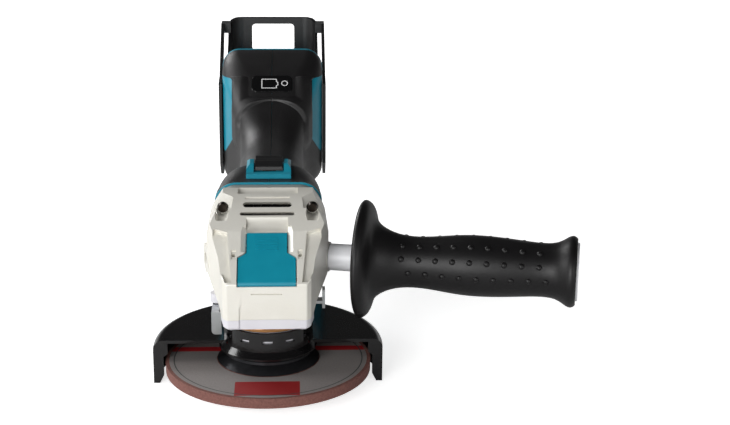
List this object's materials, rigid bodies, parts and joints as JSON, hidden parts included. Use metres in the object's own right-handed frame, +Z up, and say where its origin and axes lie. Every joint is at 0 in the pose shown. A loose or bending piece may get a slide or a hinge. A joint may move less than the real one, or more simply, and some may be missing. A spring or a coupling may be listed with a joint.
{
  "type": "angle grinder",
  "caption": "Cordless angle grinder with a 125 mm grinding wheel, turnable guard, quick-release wheel lock, side handle and a hooped battery end.",
  "frame": {"origin": "on the spindle axis, level with the grinding wheel's lower face", "axes": "+Z up the spindle towards the gear head, +Y back along the body towards the battery end, +X to the side the handle is on"},
  "size_m": [0.2586, 0.4105, 0.1684],
  "materials": {
    "head_paint": "satin",
    "guard_paint": "gloss",
    "teal_plastic": "satin",
    "black_rubber": "matte",
    "black_nylon": "satin",
    "dark_steel": "satin",
    "zinc_steel": "satin",
    "gear_steel": "satin",
    "bearing_steel": "polished",
    "lamination_steel": "matte",
    "copper": "satin",
    "bronze": "satin",
    "cast_aluminium": "satin",
    "grey_plastic": "satin",
    "board_green": "satin",
    "abrasive": "rough",
    "pale_plastic": "gloss"
  },
  "bodies": {
    "body": {"gear_housing": "head_paint", "gear_housing_screws": "zinc_steel", "air_baffle": "grey_plastic", "bearing_box": "cast_aluminium", "bearing_box_screws": "zinc_steel", "friction_ring": "bronze", "guard_lever_pin": "zinc_steel", "guard_stop": "zinc_steel", "lower_spindle_bearing": "bearing_steel", "upper_spindle_bearing": "bearing_steel", "front_motor_bearing": "bearing_steel", "rear_motor_bearing": "bearing_steel", "stator_core": "lamination_steel", "stator_coils": "copper", "housing_left": "teal_plastic", "housing_right": "teal_plastic", "grip_cover_left": "black_rubber", "grip_cover_right": "black_rubber", "side_trim_left": "teal_plastic", "side_trim_right": "teal_plastic", "switch_frame": "teal_plastic", "switch_unit": "black_nylon", "indicator_panel": "black_nylon", "control_board": "board_green", "battery_rails": "black_nylon", "terminal_block": "black_nylon", "terminal_blades": "copper", "battery_guard": "black_nylon", "lever_pin": "zinc_steel", "rocker_pin": "zinc_steel", "handle_stud": "zinc_steel", "handle_rod": "pale_plastic", "handle_grip": "black_rubber", "handle_plug": "pale_plastic"},
    "wheel_drive": {"spindle": "gear_steel", "crown_gear": "gear_steel", "lock_hub": "dark_steel", "grinding_wheel": "abrasive", "wheel_hub_plate": "dark_steel"},
    "rotor": {"motor_shaft": "gear_steel", "pinion": "gear_steel", "fan": "black_nylon", "rotor_core": "lamination_steel"},
    "jaw_left": {"lock_jaw_left": "gear_steel"},
    "jaw_right": {"lock_jaw_right": "gear_steel"},
    "release_rod": {"release_rod": "gear_steel"},
    "release_rocker": {"release_rocker": "zinc_steel"},
    "release_lever": {"release_lever": "teal_plastic"},
    "guard": {"wheel_guard": "guard_paint"},
    "guard_lock": {"guard_lock_lever": "zinc_steel"},
    "power_slide": {"slide_switch": "black_nylon", "switch_link": "grey_plastic"},
    "check_button": {"check_button": "black_nylon"}
  },
  "joints": [
    {"name": "wheel_spin", "type": "hinge", "parent": "body", "child": "wheel_drive", "pos_m": [0, 0, 0.03], "axis": [0, 0, 1], "continuous": true},
    {"name": "rotor_spin", "type": "hinge", "parent": "body", "child": "rotor", "pos_m": [0, 0.07, 0.07], "axis": [0, 1, 0], "continuous": true},
    {"name": "guard_turn", "type": "hinge", "parent": "body", "child": "guard", "pos_m": [0, 0, 0.02], "axis": [0, 0, 1], "range_deg": [-75, 75]},
    {"name": "guard_lock_swing", "type": "hinge", "parent": "body", "child": "guard_lock", "pos_m": [-0.0315, 0.016, 0.036], "axis": [0, 0, -1], "range_deg": [0, 10], "stiffness_Nm_per_rad": 0.2},
    {"name": "lever_lift", "type": "hinge", "parent": "body", "child": "release_lever", "pos_m": [0, -0.02848, 0.0637], "axis": [1, 0, 0], "range_deg": [0, 75]},
    {"name": "rocker_tilt", "type": "hinge", "parent": "body", "child": "release_rocker", "pos_m": [0, -0.009, 0.079], "axis": [-1, 0, 0], "range_deg": [0, 6]},
    {"name": "rod_push", "type": "slide", "parent": "wheel_drive", "child": "release_rod", "axis": [0, 0, -1], "range_m": [0, 0.00115]},
    {"name": "jaw_left_in", "type": "slide", "parent": "wheel_drive", "child": "jaw_left", "axis": [1, 0, 0], "range_m": [0, 0.002]},
    {"name": "jaw_right_in", "type": "slide", "parent": "wheel_drive", "child": "jaw_right", "axis": [-1, 0, 0], "range_m": [0, 0.002]},
    {"name": "power_slide", "type": "slide", "parent": "body", "child": "power_slide", "axis": [0, -1, 0], "range_m": [0, 0.006]},
    {"name": "check_press", "type": "slide", "parent": "body", "child": "check_button", "axis": [0, 0.673, -0.7396], "range_m": [0, 0.0007], "stiffness_N_per_m": 200}
  ],
  "couplings": [
    {"joint": "rotor_spin", "follows": "wheel_spin", "ratio": 3},
    {"joint": "lever_lift", "follows": "rod_push", "rad_per_m": 1138.2},
    {"joint": "rocker_tilt", "follows": "rod_push", "rad_per_m": 91.06},
    {"joint": "jaw_left_in", "follows": "rod_push", "ratio": 1.739},
    {"joint": "jaw_right_in", "follows": "rod_push", "ratio": 1.739}
  ]
}
